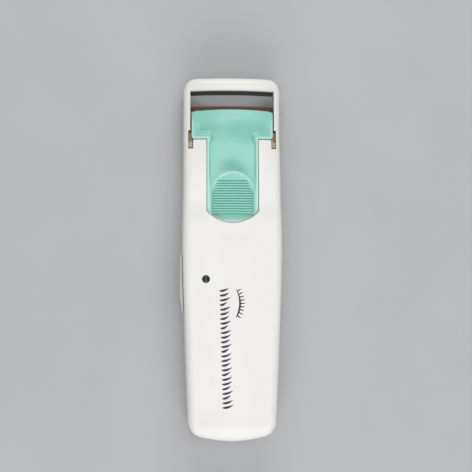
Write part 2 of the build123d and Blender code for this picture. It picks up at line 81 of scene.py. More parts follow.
# ---------------------------------------------------------------- node helpers
class Shader:
    """A material being built: short names for adding and linking its nodes."""

    def __init__(self, name):
        self.material = bpy.data.materials.new(name)
        self.material.use_nodes = True
        self.tree = self.material.node_tree
        self.surface = self.tree.nodes["Principled BSDF"]

    def add(self, kind, **values):
        node = self.tree.nodes.new(kind)
        for key, value in values.items():
            if hasattr(node, key):
                setattr(node, key, value)
            else:
                node.inputs[key.replace("_", " ")].default_value = value
        return node

    def link(self, source, target):
        self.tree.links.new(source, target)

    def position(self):
        return self.add("ShaderNodeTexCoord").outputs["Object"]

    def noise(self, scale, detail=3.0, stretch=None):
        """Noise in the object's own metres; scale is in features per metre."""
        texture = self.add("ShaderNodeTexNoise", Scale=scale, Detail=detail)
        if stretch is None:
            self.link(self.position(), texture.inputs["Vector"])
        else:
            mapping = self.add("ShaderNodeMapping", Scale=stretch)
            self.link(self.position(), mapping.inputs["Vector"])
            self.link(mapping.outputs[0], texture.inputs["Vector"])
        return texture.outputs["Fac"]

    def span(self, value, low, high, out_low, out_high):
        node = self.add("ShaderNodeMapRange")
        for name, number in zip(("From Min", "From Max", "To Min", "To Max"), (low, high, out_low, out_high)):
            node.inputs[name].default_value = number
        self.link(value, node.inputs["Value"])
        return node.outputs["Result"]

    def mix(self, factor, first, second):
        """Colours or sockets mixed by a factor socket."""
        node = self.add("ShaderNodeMix", data_type="RGBA")
        self.link(factor, node.inputs["Factor"])
        for socket, value in ((node.inputs[6], first), (node.inputs[7], second)):
            if isinstance(value, tuple):
                socket.default_value = (*value, 1.0)
            else:
                self.link(value, socket)
        return node.outputs[2]

    def bump(self, height, strength, distance):
        node = self.add("ShaderNodeBump", Strength=strength, Distance=distance)
        self.link(height, node.inputs["Height"])
        return node

    def edge(self, radius):
        """1 on edges sharper than the radius, 0 on flats: where handling wears and dirt gathers."""
        bevel = self.add("ShaderNodeBevel", Radius=radius, samples=4)
        geometry = self.add("ShaderNodeNewGeometry")
        dot = self.add("ShaderNodeVectorMath", operation="DOT_PRODUCT")
        self.link(bevel.outputs[0], dot.inputs[0])
        self.link(geometry.outputs["Normal"], dot.inputs[1])
        return self.span(dot.outputs["Value"], 0.98, 0.80, 0.0, 1.0)


def shade(color, factor):
    return tuple(min(1.0, c * factor) for c in color)


def moulded(name, color, rough=0.32, coat=0.15, grain=0.5, scatter=0.0, soft=0.15):
    """Injection-moulded plastic: fine spark-eroded grain, faint flow mottling, softer worn edges."""
    s = Shader(name)
    broad = s.noise(90.0, 2.0, stretch=(1.0, 0.35, 1.0))
    tone = s.mix(s.span(broad, 0.3, 0.7, 0.0, 1.0), shade(color, 0.975), shade(color, 1.015))
    worn = s.mix(s.edge(soft * MM), tone, shade(color, 1.05))
    s.link(worn, s.surface.inputs["Base Color"])
    smudge = s.noise(260.0, 4.0)
    s.link(s.span(smudge, 0.35, 0.7, rough - 0.04, rough + 0.07), s.surface.inputs["Roughness"])
    fine = s.bump(s.noise(9000.0, 2.0), 0.10 * grain, 0.02 * MM)
    wave = s.bump(s.noise(140.0, 1.0), 0.10 * grain, 0.05 * MM)
    bevel = s.add("ShaderNodeBevel", Radius=soft * MM, samples=4)
    s.link(bevel.outputs[0], wave.inputs["Normal"])
    s.link(wave.outputs[0], fine.inputs["Normal"])
    s.link(fine.outputs[0], s.surface.inputs["Normal"])
    s.surface.inputs["IOR"].default_value = 1.5
    s.surface.inputs["Coat Weight"].default_value = coat
    s.surface.inputs["Coat Roughness"].default_value = 0.2
    if scatter:
        s.surface.inputs["Subsurface Weight"].default_value = scatter
        s.surface.inputs["Subsurface Radius"].default_value = (1.0, 0.9, 0.8)
        s.surface.inputs["Subsurface Scale"].default_value = 0.6 * MM
    return s.material


def sculpted(name, color, rough):
    """Moulded plastic with painted light from the mesh's own attributes: a painted highlight on its rims and
    arch, painted shade in its creases.
    """
    s = Shader(name)
    broad = s.span(s.noise(110.0, 2.0), 0.3, 0.7, 0.0, 1.0)
    tone = s.mix(broad, shade(color, 0.97), shade(color, 1.02))
    # painted shade: a deeper, darker green where the mesh's attribute marks the hollow above the grip, the
    # jaw, the grip's sides and its grooves
    hollow = s.add("ShaderNodeAttribute", attribute_name="painted_shade").outputs["Fac"]
    deep = s.mix(hollow, tone, (0.36 * color[0], 0.68 * color[1], 0.60 * color[2]))
    # painted highlight: the colour turns pale mint where the mesh's attribute marks the grip's arch and the
    # cover's rims
    highlight_mask = s.add("ShaderNodeAttribute", attribute_name="painted_highlight").outputs["Fac"]
    patchy = s.add("ShaderNodeMath", operation="MULTIPLY")
    s.link(highlight_mask, patchy.inputs[0])
    s.link(s.span(s.noise(900.0, 3.0), 0.3, 0.6, 0.8, 1.0), patchy.inputs[1])
    s.link(s.mix(patchy.outputs[0], deep, (0.66, 0.94, 0.89)), s.surface.inputs["Base Color"])
    s.link(s.span(s.noise(260.0, 4.0), 0.35, 0.7, rough - 0.04, rough + 0.07), s.surface.inputs["Roughness"])
    fine = s.bump(s.noise(9000.0, 2.0), 0.05, 0.02 * MM)
    bevel = s.add("ShaderNodeBevel", Radius=0.12 * MM, samples=4)
    s.link(bevel.outputs[0], fine.inputs["Normal"])
    s.link(fine.outputs[0], s.surface.inputs["Normal"])
    s.surface.inputs["Coat Weight"].default_value = 0.3
    s.surface.inputs["Coat Roughness"].default_value = 0.15
    s.surface.inputs["Subsurface Weight"].default_value = 0.1
    s.surface.inputs["Subsurface Radius"].default_value = (0.8, 1.0, 0.9)
    s.surface.inputs["Subsurface Scale"].default_value = 0.5 * MM
    return s.material


def silicone(name, color):
    """Matt silicone rubber with a dusty sheen and a slightly pitted skin."""
    s = Shader(name)
    dust = s.noise(700.0, 5.0)
    dusty = s.span(dust, 0.45, 0.75, 0.0, 1.0)
    s.link(s.mix(dusty, color, shade(color, 1.35)), s.surface.inputs["Base Color"])
    s.link(s.span(s.noise(1800.0), 0.3, 0.7, 0.55, 0.75), s.surface.inputs["Roughness"])
    skin = s.bump(s.noise(5200.0, 4.0), 0.25, 0.03 * MM)
    s.link(skin.outputs[0], s.surface.inputs["Normal"])
    s.surface.inputs["Sheen Weight"].default_value = 0.08
    s.surface.inputs["Sheen Roughness"].default_value = 0.5
    return s.material


def metal(name, color, rough, brush=None, grain=3000.0):
    """Bare or plated metal with directional scratches and small tarnish spots."""
    s = Shader(name)
    lines = s.noise(grain, 3.0, stretch=brush or (1.0, 1.0, 1.0))
    spots = s.noise(420.0, 5.0)
    tarnish = s.span(spots, 0.58, 0.75, 0.0, 0.5)
    s.link(s.mix(tarnish, color, shade(color, 0.6)), s.surface.inputs["Base Color"])
    s.link(s.span(lines, 0.3, 0.7, rough - 0.06, rough + 0.10), s.surface.inputs["Roughness"])
    s.link(s.bump(lines, 0.15, 0.01 * MM).outputs[0], s.surface.inputs["Normal"])
    s.surface.inputs["Metallic"].default_value = 1.0
    return s.material


def led_epoxy(name):
    """Dark green tinted epoxy, unlit."""
    s = Shader(name)
    depth = s.span(s.noise(900.0), 0.3, 0.7, 0.0, 1.0)
    s.link(s.mix(depth, (0.006, 0.026, 0.008), (0.012, 0.045, 0.014)), s.surface.inputs["Base Color"])
    s.link(s.span(s.noise(1500.0), 0.3, 0.7, 0.10, 0.18), s.surface.inputs["Roughness"])
    s.link(s.bump(s.noise(2500.0), 0.05, 0.01 * MM).outputs[0], s.surface.inputs["Normal"])
    s.surface.inputs["Coat Weight"].default_value = 0.1
    return s.material


def board_laminate(name):
    """Green solder mask with the weave showing through and copper tracks under it."""
    s = Shader(name)
    weave = s.add("ShaderNodeTexChecker", Scale=2400.0)
    s.link(s.position(), weave.inputs["Vector"])
    mask = s.mix(weave.outputs["Fac"], (0.016, 0.115, 0.045), (0.020, 0.135, 0.052))
    tracks = s.add("ShaderNodeTexBrick", Scale=160.0, Mortar_Size=0.06)
    s.link(s.position(), tracks.inputs["Vector"])
    s.link(s.mix(tracks.outputs["Fac"], mask, (0.05, 0.26, 0.10)), s.surface.inputs["Base Color"])
    s.link(s.span(s.noise(800.0), 0.3, 0.7, 0.25, 0.4), s.surface.inputs["Roughness"])
    s.link(s.bump(tracks.outputs["Fac"], 0.3, 0.03 * MM).outputs[0], s.surface.inputs["Normal"])
    return s.material


def banded(name, axis, stops, rough, metallic=0.0):
    """Bands of colour along an axis, for a sleeve or a pair of wires. stops are (metres, colour) pairs."""
    s = Shader(name)
    split = s.add("ShaderNodeSeparateXYZ")
    s.link(s.position(), split.inputs[0])
    along = split.outputs["XYZ".index(axis)]
    low, high = stops[0][0], stops[-1][0]
    ramp = s.add("ShaderNodeValToRGB")
    ramp.color_ramp.interpolation = "CONSTANT"
    while len(ramp.color_ramp.elements) < len(stops):
        ramp.color_ramp.elements.new(1.0)
    for element, (place, color) in zip(ramp.color_ramp.elements, stops):
        element.position = (place - low) / (high - low)
        element.color = (*color, 1.0)
    s.link(s.span(along, low, high, 0.0, 1.0), ramp.inputs[0])
    scuff = s.span(s.noise(600.0, 6.0), 0.60, 0.72, 0.0, 0.35)
    s.link(s.mix(scuff, ramp.outputs[0], (0.35, 0.35, 0.35)), s.surface.inputs["Base Color"])
    s.link(s.span(s.noise(500.0), 0.3, 0.7, rough - 0.05, rough + 0.1), s.surface.inputs["Roughness"])
    s.link(s.bump(s.noise(2600.0), 0.08, 0.02 * MM).outputs[0], s.surface.inputs["Normal"])
    s.surface.inputs["Metallic"].default_value = metallic
    return s.material


def printed_ink(name):
    """Dark blue ink, a little uneven."""
    s = Shader(name)
    patchy = s.span(s.noise(2400.0, 4.0), 0.35, 0.75, 0.0, 1.0)
    s.link(s.mix(patchy, (0.012, 0.009, 0.040), (0.030, 0.024, 0.080)), s.surface.inputs["Base Color"])
    s.link(s.span(s.noise(1200.0), 0.3, 0.7, 0.40, 0.55), s.surface.inputs["Roughness"])
    s.link(s.bump(s.noise(6000.0), 0.1, 0.01 * MM).outputs[0], s.surface.inputs["Normal"])
    return s.material


# ---------------------------------------------------------------- materials on the CAD nodes
WHITE = (0.86, 0.845, 0.815)
MINT = (0.290, 0.655, 0.552)
BROWN = (0.50, 0.385, 0.26)
RED_WIRE, BLACK_WIRE = (0.33, 0.02, 0.02), (0.02, 0.02, 0.02)
WIRE_BANDS = [(-3 * MM, RED_WIRE), (0.0, BLACK_WIRE), (3 * MM, BLACK_WIRE)]  # one wire on each side
CAN, SLEEVE, STRIPE = (0.62, 0.62, 0.63), (0.045, 0.05, 0.06), (0.55, 0.30, 0.10)


def sleeve_bands():
    """The cells' plain printed sleeve: bare can at both ends and one copper stripe in the middle."""
    low, high = (corner.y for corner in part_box("battery_left"))
    edge, middle, half = 2.0 * MM, (low + high) / 2, 4.0 * MM
    dark = [(low + edge, SLEEVE), (middle - half, STRIPE), (middle + half, SLEEVE)]
    return [(low, CAN), *dark, (high - edge, CAN), (high, CAN)]


materials = {
    "shell": moulded("white_abs", WHITE, rough=0.34, scatter=0.12),
    "door": moulded("white_abs_door", shade(WHITE, 0.99), rough=0.38, scatter=0.12),
    # the knob's grey is partly the plastic's own cool grey and partly painted shade: darker than the white
    # body for the shade on its side
    "knob": moulded("grey_abs_with_painted_shade", (0.51, 0.535, 0.52), rough=0.36),
    "mint": sculpted("mint_abs", MINT, rough=0.28),
    "brown_plastic": moulded("brown_plastic", BROWN, rough=0.5, coat=0.0),
    "brown_silicone": silicone("brown_silicone", (0.120, 0.041, 0.028)),
    "black_silicone": silicone("black_silicone", (0.020, 0.019, 0.018)),
    "grey_plastic": moulded("grey_nylon", (0.40, 0.41, 0.41), rough=0.45, coat=0.0),
    "aluminium": metal("aluminium_sheet", (0.80, 0.80, 0.81), 0.38, (0.05, 1.0, 1.0)),
    "heater_film": moulded("polyimide_film", (0.50, 0.22, 0.03), rough=0.25, coat=0.4),
    "ceramic": moulded("ceramic_body", (0.80, 0.78, 0.72), rough=0.6, coat=0.0),
    "wire": banded("wire_insulation", "X", WIRE_BANDS, 0.45),
    "spring_steel": metal("spring_wire", (0.66, 0.66, 0.67), 0.28),
    "contact": metal("nickel_sheet", (0.72, 0.70, 0.64), 0.32, (1.0, 1.0, 0.05)),
    "screw_steel": metal("zinc_screw", (0.58, 0.58, 0.60), 0.34),
    "board": board_laminate("board_laminate"),
    "chip": moulded("black_epoxy", (0.025, 0.025, 0.027), rough=0.5, coat=0.0),
    "resistor": moulded("resistor_body", (0.55, 0.42, 0.27), rough=0.4),
    "capacitor": moulded("capacitor_sleeve", (0.05, 0.06, 0.18), rough=0.3),
    "led": led_epoxy("led_epoxy"),
    "cell": banded("cell_sleeve", "Y", sleeve_bands(), 0.3, metallic=0.6),
    "ink": printed_ink("printed_ink"),
}
slot_of = {part["node"]: part["material_slot"] for part in frame["record"]["subparts"]}
for node, obj in nodes.items():
    obj.data.materials.clear()
    obj.data.materials.append(materials[slot_of[node]])


# ---------------------------------------------------------------- mesh helpers
def mesh_piece(name, vertices, faces, body, slot, replaces=(), smooth_angle=35.0):
    """A new piece from millimetre points, shaded smooth except at edges sharper than the angle."""
    mesh = bpy.data.meshes.new(name)
    mesh.from_pydata([Vector(v) * MM for v in vertices], [], faces)
    bm = bmesh.new()
    bm.from_mesh(mesh)
    bmesh.ops.recalc_face_normals(bm, faces=bm.faces)
    bm.to_mesh(mesh)
    bm.free()
    mesh.shade_smooth()
    mesh.set_sharp_from_angle(angle=math.radians(smooth_angle))
    mesh.materials.append(materials[slot])
    obj = bpy.data.objects.new(name, mesh)
    bpy.context.scene.collection.objects.link(obj)
    if body:
        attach(obj, body)
    if replaces:
        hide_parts(*replaces)
    return obj


def smooth(t):
    t = min(max(t, 0.0), 1.0)
    return t * t * (3 - 2 * t)


def rise(value, start, length):
    """0 up to start, 1 from start + length on, smooth between."""
    return smooth((value - start) / length)


def fall(value, end, length):
    """1 up to end - length, 0 from end on, smooth between."""
    return smooth((end - value) / length)


def band(value, middle, width):
    """1 at the middle, fading to both sides."""
    return math.exp(-(((value - middle) / width) ** 2))


def tube(points, radius, sides, ends=True):
    """A round tube along points, each ring square to the path; returns vertices and faces."""
    vertices, faces = [], []
    side = Vector((0, 0, 1))
    for i, point in enumerate(points):
        before, after = points[max(i - 1, 0)], points[min(i + 1, len(points) - 1)]
        along = (after - before).normalized()
        side = (side - along * side.dot(along)).normalized()
        up = along.cross(side)
        for k in range(sides):
            turn = 2 * math.pi * k / sides
            vertices.append(point + radius * (math.cos(turn) * side + math.sin(turn) * up))
    for i in range(len(points) - 1):
        for k in range(sides):
            a, b = i * sides + k, i * sides + (k + 1) % sides
            faces.append((a, b, b + sides, a + sides))
    if ends:
        faces.append(tuple(range(sides)))
        faces.append(tuple(range(len(vertices) - sides, len(vertices))))
    return vertices, faces


def lathe(profile, x, y, sides):
    """A surface of revolution about the vertical line at x, y, closed where the profile meets it."""
    vertices = [(x, y, profile[0][1])]
    faces = []
    for radius, z in profile[1:-1]:
        for k in range(sides):
            turn = 2 * math.pi * k / sides
            vertices.append((x + radius * math.cos(turn), y + radius * math.sin(turn), z))
    vertices.append((x, y, profile[-1][1]))
    last = len(vertices) - 1
    rings = len(profile) - 2
    for k in range(sides):
        after = (k + 1) % sides
        faces.append((0, 1 + after, 1 + k))
        for ring in range(rings - 1):
            base = 1 + ring * sides
            faces.append((base + k, base + after, base + sides + after, base + sides + k))
        base = 1 + (rings - 1) * sides
        faces.append((base + k, base + after, last))
    return vertices, faces


def wall(row):
    """Side faces between the front and back points of a row."""
    return [(a, b, b + 1, a + 1) for a, b in zip(row, row[1:])]


def joined(shapes):
    """Several (vertices, faces) shapes as one."""
    vertices, faces = [], []
    for part_vertices, part_faces in shapes:
        start = len(vertices)
        vertices += part_vertices
        faces += [tuple(start + i for i in face) for face in part_faces]
    return vertices, faces


def curve_points(start, bend, end, count=9):
    """Points on a quadratic curve."""
    points = []
    for i in range(count):
        t = i / (count - 1)
        points.append((1 - t) ** 2 * start + 2 * t * (1 - t) * bend + t * t * end)
    return points


def rounded_route(points, radius, steps=6):
    """Straight runs joined by a short curve at each corner, as a list of points."""
    path = [points[0]]
    for before, corner, after in zip(points, points[1:], points[2:]):
        toward, away = (before - corner).normalized(), (after - corner).normalized()
        start, end = corner + radius * toward, corner + radius * away
        for i in range(steps + 1):
            t = i / steps
            path.append((1 - t) ** 2 * start + 2 * t * (1 - t) * corner + t * t * end)
    return path + [points[-1]]


# ---------------------------------------------------------------- the slider cover
# in millimetres, and in the frame of the CAD node that it stands for
JAW_HALF, JAW_LOW, JAW_TOP, JAW_CORNER, JAW_BOW = 16.54, 49.0, 60.76, 1.3, 0.55
STEM_HALF, STEM_CORNER, STEM_TIP = 10.37, 19.7, 15.05
HEAD_AXIS_Z, JAW_BACK_R, JAW_FRONT_R = -26.1, 39.9, 42.9
STEM_BACK_Z, CHEEK_Z = 12.85, 16.4
GRIP_HALF, GRIP_LOW, GRIP_TOP, GRIP_Z = 8.45, 18.0, 35.95, 17.4
GROOVE_START = GRIP_LOW + 0.45
GROOVES, GROOVE_PITCH, GROOVE_HALF, GROOVE_DEPTH = 14, 1.025, 0.36, 0.6
STEM_SINK, JAW_LIFT = 0.3, 0.7  # the stem lies below the housing's cheeks, the jaw stands above them
STEM_RIM, STEM_BLEND = 0.55, 1.0  # width of the raised rim, and of the slope inside it
WING_RIM, WING_BLEND = 0.75, 1.2  # what the jaw's wings add to both
DISH, DISH_LEAST = 1.35, 0.07  # depth of the dish, and the share of it left beside the grip
HOLLOW, HOLLOW_Y, HOLLOW_HALF, HOLLOW_LENGTH = 1.0, 37.6, 5.5, 3.6
CROWN = 0.18
GRIP_LIP, GRIP_WALL = 1.15, 0.28  # the grip's rounded arch, and its steep lower sides
GRIP_SIDE, GRIP_STRAIGHT_Y = 1.2, 27
GRIP_DROP, GRIP_CAMBER = 0.35, 0.012
GROOVE_RUNOUT = 0.5

# (where it starts, over what length) for rise; (where it ends, over what length) for fall
BEND_RISE = (30.0, 24.0)
PROUD_RISE = (46.0, 6.0)
WING_RISE = (47.0, 3.0)
CROWN_RISE = (55.0, 3.0)
BOW_RISE = (55.0, 5.5)
DISH_RISE = (26.0, 9.0)
DISH_FALL = (57.4, 7.5)
GRIP_TOP_RISE = (31.0, 4.4)


def stem_half(y):
    """Half width of the stem: straight, then closing round the bowed lower end."""
    if y >= STEM_CORNER:
        return STEM_HALF
    height = STEM_CORNER - STEM_TIP
    radius = (STEM_HALF**2 + height**2) / (2 * height)
    return math.sqrt(max(radius**2 - (STEM_TIP + radius - y) ** 2, 0.01))


def jaw_half(y):
    """Half width of the jaw, with its four rounded corners."""
    near = min(y - JAW_LOW, JAW_TOP - y)
    if near >= JAW_CORNER:
        return JAW_HALF
    return JAW_HALF - JAW_CORNER + math.sqrt(max(JAW_CORNER**2 - (JAW_CORNER - near) ** 2, 0.0))


def grip_inside(x, y):
    """How far the point lies inside the grip's outline; negative outside it."""
    round_y = GRIP_TOP - GRIP_HALF
    if y > round_y:
        return min(GRIP_HALF - math.hypot(x, y - round_y), y - GRIP_LOW)
    return min(GRIP_HALF - abs(x), y - GRIP_LOW)


def rim_inside(x, y):
    """Distance from the cover's edge, measured inwards."""
    if y <= JAW_LOW:
        return min(stem_half(y) - abs(x), y - STEM_TIP)
    if abs(x) > STEM_HALF:
        return min(JAW_HALF - abs(x), y - JAW_LOW)
    return math.hypot(STEM_HALF - abs(x), y - JAW_LOW)


def cover_front(x, y):
    """Height of the cover's front surface."""
    proud = -STEM_SINK + JAW_LIFT * rise(y, *PROUD_RISE)
    skin = CHEEK_Z + proud - rise(y, *BEND_RISE) * x * x / (2 * JAW_FRONT_R)
    wing = rise(y, *WING_RISE)
    inner = rise(rim_inside(x, y), STEM_RIM + WING_RIM * wing, STEM_BLEND + WING_BLEND * wing)
    dish = DISH * fall(y, *DISH_FALL) * (DISH_LEAST + (1 - DISH_LEAST) * rise(y, *DISH_RISE))
    hollow = HOLLOW * band(x, 0, HOLLOW_HALF) * band(y, HOLLOW_Y, HOLLOW_LENGTH)
    crown = CROWN * rise(y, *CROWN_RISE) * (1 - (x / JAW_HALF) ** 2)
    z = skin + crown - inner * (dish + hollow)
    inside = grip_inside(x, y)
    if inside <= 0:
        return z
    return z + (grip_front(x, y, inside) - z) * grip_share(x, y, inside)


def grip_front(x, y, inside):
    """Height of the grip's ribbed top, cambered and lower towards its arch."""
    top = GRIP_Z - GRIP_DROP * rise(y, *GRIP_TOP_RISE) - GRIP_CAMBER * x * x / 2
    for i in range(GROOVES):
        off = abs(y - (GROOVE_START + GROOVE_PITCH * i)) / GROOVE_HALF
        if off < 1.0:
            top -= GROOVE_DEPTH * smooth(inside / GROOVE_RUNOUT) * (1 - off * off) ** 2
    return top


def grip_share(x, y, inside):
    """0 at the grip's outline and 1 on its top: steep along its lower end and sides, rounded at the arch."""
    beside = abs(x) > GRIP_HALF - GRIP_SIDE and y < GRIP_STRAIGHT_Y
    if y < GRIP_LOW + 1.0 or beside:
        return min(inside / GRIP_WALL, 1.0)
    return smooth(inside / GRIP_LIP)


# how strongly each painted highlight and painted shade shows (the arch's highlight shows fully), and its
# place as (middle, width), rise or fall
ARCH_HIGHLIGHT_BAND, ARCH_HIGHLIGHT_RISE = (0.55, 0.55), (26.0, 5.0)
RIM_HIGHLIGHT, RIM_HIGHLIGHT_BAND, RIM_HIGHLIGHT_FALL = 0.58, (0.45, 0.6), (JAW_TOP - 3.0, 3.0)
ABOVE_SHADE, ABOVE_HALF, ABOVE_BAND = 0.50, 5.0, (37.2, 2.6)
JAW_SHADE, JAW_SHADE_RISE, JAW_SHADE_FALL = 0.26, (46.0, 4.0), (57.0, 4.0)
SIDE_SHADE, SIDE_SHADE_RISE, SIDE_SHADE_END, SIDE_SHADE_FALL = 0.35, (-0.9, 0.8), 0.35, (30.0, 3.0)
GROOVE_SHADE, GROOVE_SHADE_HALF, GROOVE_INSET = 0.22, 0.34, 0.2


def cover_painted_highlight(x, y):
    """Painted highlight on the cover: the grip's arch and the outer rims."""
    inside = grip_inside(x, y)
    arch = band(inside, *ARCH_HIGHLIGHT_BAND) * rise(y, *ARCH_HIGHLIGHT_RISE)
    rim = RIM_HIGHLIGHT * band(rim_inside(x, y), *RIM_HIGHLIGHT_BAND) * fall(y, *RIM_HIGHLIGHT_FALL)
    return max(arch if inside > -1 else 0.0, rim)


def cover_painted_shade(x, y):
    """Painted shade on the cover: above the grip, on the jaw, beside the grip and in its grooves."""
    outside = -grip_inside(x, y)
    above = ABOVE_SHADE * band(x, 0, ABOVE_HALF) * band(y, *ABOVE_BAND) * smooth(outside + 1.0)
    jaw = JAW_SHADE * fall(y, *JAW_SHADE_FALL) * rise(y, *JAW_SHADE_RISE)
    side = rise(outside, *SIDE_SHADE_RISE) * smooth(1.0 - outside / SIDE_SHADE_END)
    side *= SIDE_SHADE * fall(y, *SIDE_SHADE_FALL)
    groove = 0.0
    if outside < -GROOVE_INSET:
        turn = (y - GROOVE_START) / GROOVE_PITCH
        near = abs(turn - round(turn)) * GROOVE_PITCH
        if -0.4 < turn < GROOVES - 0.6:
            groove = GROOVE_SHADE * smooth(1.0 - near / GROOVE_SHADE_HALF)
    return max(above, jaw, side, groove)


def cover_back(x, y):
    """Height of the cover's back: flat under the stem, curved under the jaw."""
    if y < JAW_LOW:
        return STEM_BACK_Z
    return HEAD_AXIS_Z + math.sqrt(JAW_BACK_R**2 - x * x)


ROW_STEP, RIBBED_STEP = 0.24, GROOVE_PITCH / 10  # spacing of the grid's rows
STEM_COLUMNS, WING_COLUMNS = 88, 24
TIP_INSET = 0.02  # the first row lies this far inside the tip, where the outline has some width


def cover_rows():
    """The y of each row of the grid: fine over the ribs, and one row on the jaw's lower edge."""
    rows = []
    y = STEM_TIP + TIP_INSET
    while y < JAW_TOP:
        rows.append(y)
        ribbed = GRIP_LOW - 0.2 < y < GRIP_TOP + 0.3
        y += RIBBED_STEP if ribbed else ROW_STEP
        if rows[-1] < JAW_LOW < y:
            y = JAW_LOW
    return rows + [JAW_TOP]


def row_places(y):
    """The x of each point in a row; rows on the jaw have a wing at each end."""
    half = stem_half(y) if y < JAW_LOW else STEM_HALF
    places = [half * (2 * k / STEM_COLUMNS - 1) for k in range(STEM_COLUMNS + 1)]
    if y < JAW_LOW:
        return places
    reach = jaw_half(y) - STEM_HALF
    wing = [STEM_HALF + reach * (k + 1) / WING_COLUMNS for k in range(WING_COLUMNS)]
    return [-x for x in reversed(wing)] + places + wing


def slider_cover():
    """One closed skin: a fine grid over the T outline in front, its walls, and a grid behind."""
    vertices, faces, painted_highlight, painted_shade = [], [], [], []
    previous = None
    for y in cover_rows():
        row = []
        for x in row_places(y):
            bowed = y - JAW_BOW * (x / JAW_HALF) ** 2 * rise(y, *BOW_RISE)
            start = len(vertices)
            vertices.append((x, bowed, cover_front(x, y)))
            vertices.append((x, bowed, cover_back(x, y)))
            # painted highlight and painted shade for each front point, none for the back
            painted_highlight += [cover_painted_highlight(x, y), 0.0]
            painted_shade += [cover_painted_shade(x, y), 0.0]
            row.append(start)
        if previous:
            skip = (len(row) - len(previous)) // 2  # the wings start at this row
            if skip:
                faces += wall(row[: skip + 1]) + wall(row[-skip - 1 :])
            low, high = previous, row[skip : len(row) - skip]
            for a, b, c, d in zip(low, low[1:], high[1:], high):
                faces.append((a, b, c, d))
                faces.append((d + 1, c + 1, b + 1, a + 1))
            faces += wall([low[0], high[0]]) + wall([high[-1], low[-1]])
        else:
            faces += wall(row)
        previous = row
    faces += wall(previous)
    skin = mesh_piece("slider_cover_skin", vertices, faces, "slider", "mint", ["slider_cover"])
    for name, values in (("painted_highlight", painted_highlight), ("painted_shade", painted_shade)):
        attribute = skin.data.attributes.new(name, "FLOAT", "POINT")
        attribute.data.foreach_set("value", values)


# ---------------------------------------------------------------- springs, wires and lamp
SPRING_X, SPRING_Z, COIL_R, SPRING_WIRE_R, COIL_TURNS, COIL_STEPS = 8.0, 6.0, 1.6, 0.2, 10, 240
TURN_CLOSING, PITCH_CLOSING = 0.035, 0.055  # how far the end turns are drawn together


def smooth_ends(share):
    """Even pitch in the middle and closed turns at both ends."""
    return share - PITCH_CLOSING * math.sin(2 * math.pi * share) * math.cos(math.pi * share) ** 2


def return_springs():
    """Two compression springs with closed ends, between the guide's legs and the seat."""
    low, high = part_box("return_springs")
    start, end = low.y / MM + SPRING_WIRE_R, high.y / MM - SPRING_WIRE_R
    shapes = []
    for side in (-SPRING_X, SPRING_X):
        points = []
        for i in range(COIL_STEPS + 1):
            share = i / COIL_STEPS
            closed = share + TURN_CLOSING * math.sin(2 * math.pi * share)
            turn = 2 * math.pi * COIL_TURNS * closed
            y = start + (end - start) * smooth_ends(share)
            x, z = side + COIL_R * math.cos(turn), SPRING_Z + COIL_R * math.sin(turn)
            points.append(Vector((x, y, z)))
        shapes.append(tube(points, SPRING_WIRE_R, 8))
    spring = mesh_piece("return_spring_coils", *joined(shapes), "housing", "spring_steel", ["return_springs"])
    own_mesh(spring)


LEAD_X, LEAD_R, LEAD_CORNER_R = 1.3, 0.55, 2.0
LEAD_ROUTE = [(6.5, 8.1), (12.0, 8.1), (17.0, 3.4), (26.0, 3.3), (35.0, 3.4), (41.0, 9.25), (51.0, 9.25)]


def heater_leads():
    """Two insulated wires from the board to the heater."""
    shapes = []
    for side in (-LEAD_X, LEAD_X):
        points = [Vector((side, y, z)) for y, z in LEAD_ROUTE]
        shapes.append(tube(rounded_route(points, LEAD_CORNER_R), LEAD_R, 14))
    leads = mesh_piece("heater_lead_wires", *joined(shapes), None, "wire", ["heater_leads"], 50.0)
    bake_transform(leads)


LENS_R, LENS_BASE, DOME, LEG_X, LEG_R, LEG_TOP = 1.5, 5.6, 1.0, 0.7, 0.25, 5.8


def power_led():
    """3 mm lamp: a domed lens on two legs."""
    low, high = (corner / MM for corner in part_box("power_led"))
    x, y = (low.x + high.x) / 2, (low.y + high.y) / 2
    profile = [(0.0, low.z + LENS_BASE), (LENS_R, low.z + LENS_BASE), (LENS_R, high.z - DOME)]
    steps, sides = 10, 40
    for i in range(1, steps + 1):
        turn = math.pi / 2 * i / steps
        profile.append((LENS_R * math.cos(turn), high.z - DOME + DOME * math.sin(turn)))
    lens = lathe(profile, x, y, sides)
    legs = []
    for side in (-LEG_X, LEG_X):
        legs.append(tube([Vector((x + side, y, low.z)), Vector((x + side, y, low.z + LEG_TOP))], LEG_R, 8))
    mesh_piece("power_led_lens", *joined([lens, *legs]), "housing", "led", ["power_led"])


# ---------------------------------------------------------------- the printed ornament
INK_T = 0.02
STROKE_LEAST = 0.03  # half width of a stroke's tips
ROW_STROKES, ROW_TOP_Y, STROKE_PITCH, STROKE_WIDTH = 26, -12.2, 1.88, 0.85
ROW_X, ROW_SLANT, ROW_MIDDLE_Y, ROW_OFFSET = -2.95, 0.028, -36, 1.9
LID_X, LID_LOW_Y, LID_HIGH_Y, LID_BULGE_X, LID_WIDTH, LASH_WIDTH = 1.2, -23.6, -12.0, 4.4, 0.7, 0.45


def brush_stroke(points, width):
    """A flat tapered stroke of ink along points, with a little thickness."""
    count = len(points)
    left, right = [], []
    for i, point in enumerate(points):
        along = (points[min(i + 1, count - 1)] - points[max(i - 1, 0)]).normalized()
        across = Vector((-along.y, along.x, 0))
        half = width / 2 * math.sin(math.pi * (0.10 + 0.86 * (i / (count - 1)) ** 0.8)) + STROKE_LEAST
        left.append(point + across * half)
        right.append(point - across * half)
    thickness = Vector((0, 0, INK_T))
    vertices = left + right + [v + thickness for v in left + right]
    n, m = count, 2 * count
    faces = []
    for i in range(count - 1):
        faces.append((i, n + i, n + i + 1, i + 1))
        faces.append((m + i, m + i + 1, m + n + i + 1, m + n + i))
        faces.append((i, i + 1, m + i + 1, m + i))
        faces.append((n + i, m + n + i, m + n + i + 1, n + i + 1))
    faces.append((0, m, m + n, n))
    faces.append((n - 1, m - 1, m + m - 1, m + n - 1))
    return vertices, faces


